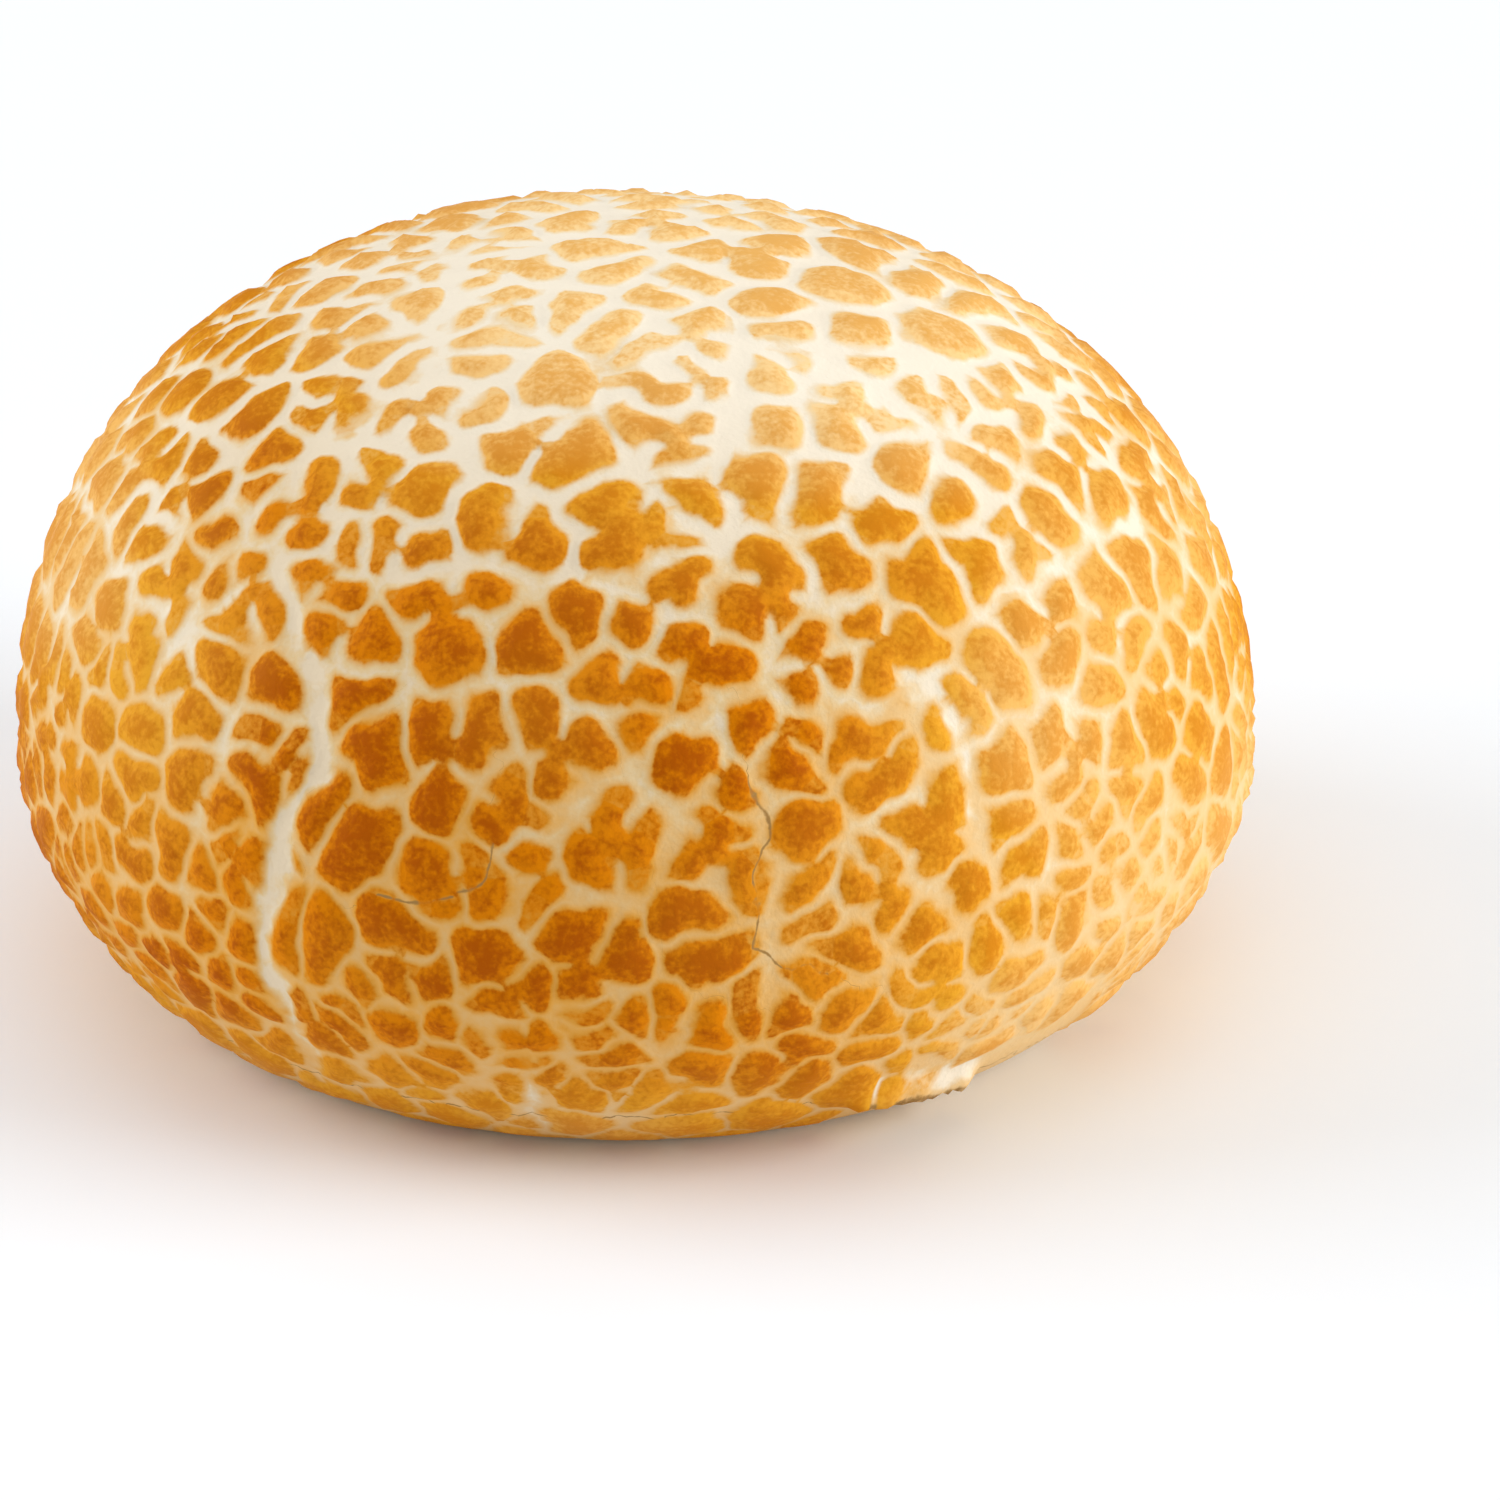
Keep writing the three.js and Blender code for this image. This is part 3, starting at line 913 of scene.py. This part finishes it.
    def mesh(self) -> bpy.types.Mesh:
        """Builds the crust and the flat underside as one closed mesh.

        Returns:
            The mesh, with the marks as attributes.
        """
        paste = Paste(self.loaf, self.plaque_middles(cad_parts["roll"]))
        ways, around = self.vertices(paste)
        survey = paste.survey(ways)
        level = self.loaf.points(ways)
        flat = [Vector(spot) for spot in ways[:, :2] / (1.0 + ways[:, 2:])]
        faces = [tuple(face) for face in delaunay_2d_cdt(flat, [], [], 0, TINY)[2]]
        rows = [self.loaf.points(ways, self.lifts(survey, level)), *self.underside_rows()]
        starts = np.cumsum([0, *(len(row) for row in rows)]).tolist()
        spans: list[Span] = [(0, around), *((start, len(row)) for start, row in zip(starts[1:], rows[1:]))]
        faces += [face for upper, lower in zip(spans, spans[1:]) for face in self.bridge(upper, lower)]
        corners = np.concatenate(rows) * MM
        mesh = bpy.data.meshes.new("tiger_roll")
        mesh.from_pydata(corners.tolist(), [], faces)
        mesh.shade_smooth()
        for mark, values in self.marks(survey, level).items():
            padded = np.full(len(corners), self.underside[mark], dtype=np.float32)
            padded[: len(values)] = values
            mesh.attributes.new(mark.value, "FLOAT", "POINT").data.foreach_set("value", padded)
        return mesh

    def underside_rows(self) -> list[Floats]:
        """Lays rows of vertices over the bottom, ever wider spaced towards its middle.

        Returns:
            Points in millimetres for each row, the last row being the one in the middle.
        """
        rows = []
        radius, gap = self.loaf.foot_radius, self.rim_spacing
        while radius > 2.0 * self.underside_spacing:
            gap = min(self.underside_growth * gap, self.underside_spacing)
            radius -= gap * ROW_STEP
            count = round(2.0 * math.pi * radius / gap)
            turn = math.pi + np.arange(count) * 2.0 * math.pi / count
            rows.append(round_axis(radius, turn, np.zeros(count)))
        return [*rows, np.zeros((1, 3))]

    def bridge(self, upper: Span, lower: Span) -> list[tuple[int, int, int]]:
        """Joins two rows of vertices with triangles that face outwards.

        Args:
            upper: First number and count of the row nearer to the crown.
            lower: First number and count of the next row.

        Returns:
            Corners of the triangles.
        """
        (top, tops), (low, lows) = upper, lower
        faces = []
        i = j = 0
        while i < tops or j < lows:
            over, under = top + i % tops, low + j % lows
            if tops > 1 and i < tops and (j == lows or lows == 1 or (i + 1) * lows <= (j + 1) * tops):
                faces.append((over, under, top + (i + 1) % tops))
                i += 1
            elif lows > 1 and j < lows:
                faces.append((over, under, low + (j + 1) % lows))
                j += 1
            else:
                break
        return faces

    def build(self) -> bpy.types.Object:
        """Makes the roll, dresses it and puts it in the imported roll's place.

        Returns:
            The roll.
        """
        piece = bpy.data.objects.new("tiger_roll", self.mesh())
        bpy.context.scene.collection.objects.link(piece)
        piece.data.materials.append(PasteCrust().material())
        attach(piece, "root")
        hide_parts("roll")
        return piece


def add_node(tree: bpy.types.NodeTree, kind: str, settings: dict[str, Any], links: dict[str, Any]) -> Node:
    """Adds a shader node.

    Args:
        tree: Node tree to add to.
        kind: Blender's name of the node type.
        settings: Properties of the node, and the stops of a colour ramp under the name stops.
        links: What each input takes: another node with the name of its output, or a plain value.

    Returns:
        The new node.
    """
    node = tree.nodes.new(kind)
    for name, value in settings.items():
        if name != "stops":
            setattr(node, name, value)
    for i, (at, colour) in enumerate(settings.get("stops", ())):
        elements = node.color_ramp.elements
        stop = elements[i] if i < len(elements) else elements.new(1.0)
        stop.position, stop.color = at, linear(colour)
    for name, source in links.items():
        socket = node.inputs[int(name)] if name.isdigit() else node.inputs[name]
        if isinstance(source, tuple) and isinstance(source[0], Node):
            giver, output = source
            tree.links.new(giver.outputs[int(output)] if output.isdigit() else giver.outputs[output], socket)
        else:
            socket.default_value = source
    return node


@dataclass(frozen=True)
class Blend:
    """A sum of values, by which a shader draws."""

    name: str
    start: float  # what the sum begins with
    shares: tuple[tuple[str, float], ...]  # of each value in the sum
    rise: Pair | None = None  # sums between which it rises smoothly from 0 to 1


@dataclass(frozen=True)
class Ramp:
    """Colours along a value, as sRGB hex, from its lowest place to its highest."""

    name: str
    value: str
    stops: tuple[tuple[float, str], ...]


@dataclass(frozen=True)
class Mix:
    """One colour that gives way to another as a value rises."""

    name: str
    value: str
    low: str
    high: str


@dataclass(frozen=True)
class PasteCrust:
    """Rice paste, brushed on wet and baked dry until it burst."""

    # It gives the eye dull, grainy, orange-brown plaques, darker inside and frayed at the edge, over a
    # cream skin that is whiter the wider a crack gapes. Both are paler where the crust is less browned and
    # where painted light falls on it, and fine dark lines of painted shade run along the hairlines and the torn
    # lip.
    name: str = "baked_rice_paste_crust"
    grit: float = 0.5  # millimetres from grain to grain of the paste, drawn coarse enough to show
    blotch: float = 1.7  # millimetres from patch to patch, paler and darker
    detail: float = 2.0  # finer layers of both
    roughness: float = 0.55
    ior: float = 1.45
    specular: float = 0.03  # dry and porous, with hardly any sheen
    bump_height: float = 0.14  # of the grains in millimetres
    bump_strength: float = 0.5
    # painted shade: the dark line in the hairlines' fine cracks and along the torn lip near the foot
    hairline: str = "#a07a46"
    blends: tuple[Blend, ...] = (
        Blend("inner", 0.0, (("edge", 1.0),), (0.0, 1.2)),
        Blend("cover", -0.3, (("edge", 1.0), ("grit", 0.34), ("blotch", 0.26)), (-0.2, 0.1)),
        Blend("dark", -0.2, (("blotch", 0.8), ("grit", 1.0), ("tone", 0.25), ("inner", 0.3)), (0.6, 1.3)),
        Blend("gape", -0.54, (("open", 1.0), ("edge", -0.6), ("grit", 0.4), ("blotch", 0.2))),
        Blend("shallows", -0.3, (("edge", 1.0), ("grit", 0.3), ("blotch", 0.3)), (-0.5, 0.05)),
        # painted shade along the hairlines and the torn lip, darkest on their lines
        Blend("painted_crack_shade", -0.2, (("off_hair", 1.0), ("grit", 0.2), ("blotch", 0.2)), (0.16, 0.02)),
    )
    ramps: tuple[Ramp, ...] = (
        # each colour goes paler along pale, which holds both browning and painted light
        Ramp("light_paste", "pale", ((0.0, "#d67c02"), (0.5, "#e2a02a"), (1.0, "#f3d094"))),
        Ramp("dark_paste", "pale", ((0.0, "#ac5302"), (0.5, "#cd8016"), (1.0, "#e5ae5e"))),
        Ramp("brown_skin", "gape", ((0.0, "#dda24c"), (0.5, "#dcb274"), (0.8, "#dcc090"), (1.1, "#dfcdb0"))),
        Ramp("pale_skin", "gape", ((0.0, "#e8c892"), (0.5, "#e7cc9f"), (1.0, "#efe5d2"))),
        Ramp("shore", "pale", ((0.0, "#d4902a"), (0.5, "#dca34a"), (1.0, "#efd4a4"))),
    )
    mixes: tuple[Mix, ...] = (
        Mix("paste", "dark", "light_paste", "dark_paste"),
        Mix("skin", "pale", "brown_skin", "pale_skin"),
        Mix("crack", "shallows", "skin", "shore"),
        # the cracks take the painted shade of the hairlines and the lip
        Mix("crack_and_painted_shade", "painted_crack_shade", "crack", "hairline"),
        Mix("crust", "cover", "crack_and_painted_shade", "paste"),
    )

    def material(self) -> bpy.types.Material:
        """Builds the shader.

        Returns:
            The material.
        """
        material = bpy.data.materials.new(self.name)
        material.use_nodes = True
        tree = material.node_tree
        tree.nodes.clear()
        made: dict[str, Any] = {"hairline": linear(self.hairline)}
        for mark in Mark:
            named = {"attribute_name": mark.value}
            made[mark.value] = add_node(tree, "ShaderNodeAttribute", named, {}), "Fac"
        place = add_node(tree, "ShaderNodeTexCoord", {}, {}), "Object"
        for name, size in (("grit", self.grit), ("blotch", self.blotch)):
            links = {"Vector": place, "Scale": 1.0 / (size * MM), "Detail": self.detail}
            made[name] = add_node(tree, "ShaderNodeTexNoise", {}, links), "Fac"
        off = add_node(tree, "ShaderNodeMath", {"operation": "ABSOLUTE"}, {"0": made[Mark.HAIR.value]})
        made["off_hair"] = off, "Value"
        for blend in self.blends:
            total: Link | float = blend.start
            for name, share in blend.shares:
                links = {"0": made[name], "1": share, "2": total}
                total = add_node(tree, "ShaderNodeMath", {"operation": "MULTIPLY_ADD"}, links), "Value"
            if blend.rise:
                links = {"Value": total, "From Min": blend.rise[0], "From Max": blend.rise[1]}
                smooth = {"interpolation_type": "SMOOTHSTEP"}
                total = add_node(tree, "ShaderNodeMapRange", smooth, links), "Result"
            made[blend.name] = total
        for ramp in self.ramps:
            low, high = ramp.stops[0][0], ramp.stops[-1][0]
            links = {"Value": made[ramp.value], "From Min": low, "From Max": high}
            along = add_node(tree, "ShaderNodeMapRange", {}, links), "Result"
            stops = [((at - low) / (high - low), colour) for at, colour in ramp.stops]
            made[ramp.name] = add_node(tree, "ShaderNodeValToRGB", {"stops": stops}, {"Fac": along}), "Color"
        for mix in self.mixes:
            links = {"0": made[mix.value], "6": made[mix.low], "7": made[mix.high]}
            made[mix.name] = add_node(tree, "ShaderNodeMix", {"data_type": "RGBA"}, links), "2"
        links = {"Height": made["grit"], "Strength": self.bump_strength, "Distance": self.bump_height * MM}
        bump = add_node(tree, "ShaderNodeBump", {}, links), "Normal"
        links = {"Base Color": made["crust"], "Roughness": self.roughness, "IOR": self.ior, "Normal": bump}
        shader = add_node(tree, "ShaderNodeBsdfPrincipled", {}, links | {"Specular IOR Level": self.specular})
        add_node(tree, "ShaderNodeOutputMaterial", {}, {"Surface": (shader, "BSDF")})
        return material


@dataclass(frozen=True)
class PaperSweep:
    """White background paper, rolled smooth and matt."""

    # It gives the eye an even white with soft shadows on it and no sheen.
    name: str = "white_paper_sweep"
    colour: str = "#f3f7fb"
    roughness: float = 0.9

    def material(self) -> bpy.types.Material:
        """Builds the shader.

        Returns:
            The material.
        """
        material = bpy.data.materials.new(self.name)
        material.use_nodes = True
        inputs = material.node_tree.nodes["Principled BSDF"].inputs
        inputs["Base Color"].default_value = linear(self.colour)
        inputs["Roughness"].default_value = self.roughness
        return material


@dataclass(frozen=True)
class Lamp:
    """A soft square light, in metres and watts."""

    name: str
    at: tuple[float, float, float]
    size: float
    power: float


@dataclass
class Studio:
    """A pale floor, soft light and the camera, in metres and degrees."""

    loaf: Loaf
    floor_half: float = 12.0  # so wide that its edge is never seen
    surround: float = 0.28  # strength of the white light from all round
    lamps: tuple[Lamp, ...] = (
        Lamp("overhead", (0.0, 0.22, 2.6), 3.5, 36.5),
        Lamp("key", (1.98, -0.33, 0.71), 1.32, 38.0),
        Lamp("fill", (-1.87, 0.22, 0.84), 1.54, 29.5),
        Lamp("front", (0.44, -1.98, 0.23), 1.32, 6.0),
    )
    lit_height: float = 0.03  # at which the lamps point
    elevation: float = 24.0  # of the photograph's view
    distance: float = 0.432
    lens: float = 119.0  # in millimetres
    aside: float = 0.0101  # by which the view is centred to the right of the roll
    below: float = 0.0137  # by which the view is centred below the roll's middle

    def build(self) -> bpy.types.Object:
        """Builds the floor, the lights and the camera.

        Returns:
            The floor.
        """
        floor = self.floor()
        self.lights()
        self.camera()
        return floor

    def floor(self) -> bpy.types.Object:
        """Lays the floor.

        Returns:
            The floor.
        """
        mesh = bpy.data.meshes.new("floor")
        half = self.floor_half
        corners = [(-half, -half, 0.0), (half, -half, 0.0), (half, half, 0.0), (-half, half, 0.0)]
        mesh.from_pydata(corners, [], [(0, 1, 2, 3)])
        mesh.materials.append(PaperSweep().material())
        piece = bpy.data.objects.new("floor", mesh)
        bpy.context.scene.collection.objects.link(piece)
        return piece

    def lights(self) -> None:
        """Hangs the soft lights and sets the white surround."""
        world = bpy.data.worlds.new("white_surround")
        world.use_nodes = True
        inputs = world.node_tree.nodes["Background"].inputs
        inputs["Color"].default_value = (1.0, 1.0, 1.0, 1.0)
        inputs["Strength"].default_value = self.surround
        bpy.context.scene.world = world
        for lamp in self.lamps:
            data = bpy.data.lights.new(lamp.name, "AREA")
            data.size, data.energy = lamp.size, lamp.power
            light = bpy.data.objects.new(lamp.name, data)
            light.location = lamp.at
            ray = Vector((0.0, 0.0, self.lit_height)) - Vector(lamp.at)
            light.rotation_euler = ray.to_track_quat("-Z", "Y").to_euler()
            bpy.context.scene.collection.objects.link(light)

    def camera(self) -> None:
        """Places the camera at the photograph's viewing angle."""
        data = bpy.data.cameras.new("camera")
        data.lens = self.lens
        eye = bpy.data.objects.new("camera", data)
        tilt = math.radians(self.elevation)
        down = Vector((0.0, -math.sin(tilt), -math.cos(tilt)))
        back = Vector((0.0, -math.cos(tilt), math.sin(tilt)))
        aim = Vector((self.aside, 0.0, 0.5 * self.loaf.height * MM)) + down * self.below
        eye.location = aim + back * self.distance
        eye.rotation_euler = (-back).to_track_quat("-Z", "Y").to_euler()
        bpy.context.scene.collection.objects.link(eye)
        bpy.context.scene.camera = eye
        bpy.context.scene.view_settings.view_transform = "Standard"


def main() -> None:
    """Builds the roll and its surroundings."""
    logging.basicConfig(level=logging.INFO)
    loaf = Loaf()
    for piece in (Studio(loaf).build(), Crust(loaf).build()):
        LOG.info("%s: %d faces", piece.name, len(piece.data.polygons))


if __name__ == "__main__":
    main()
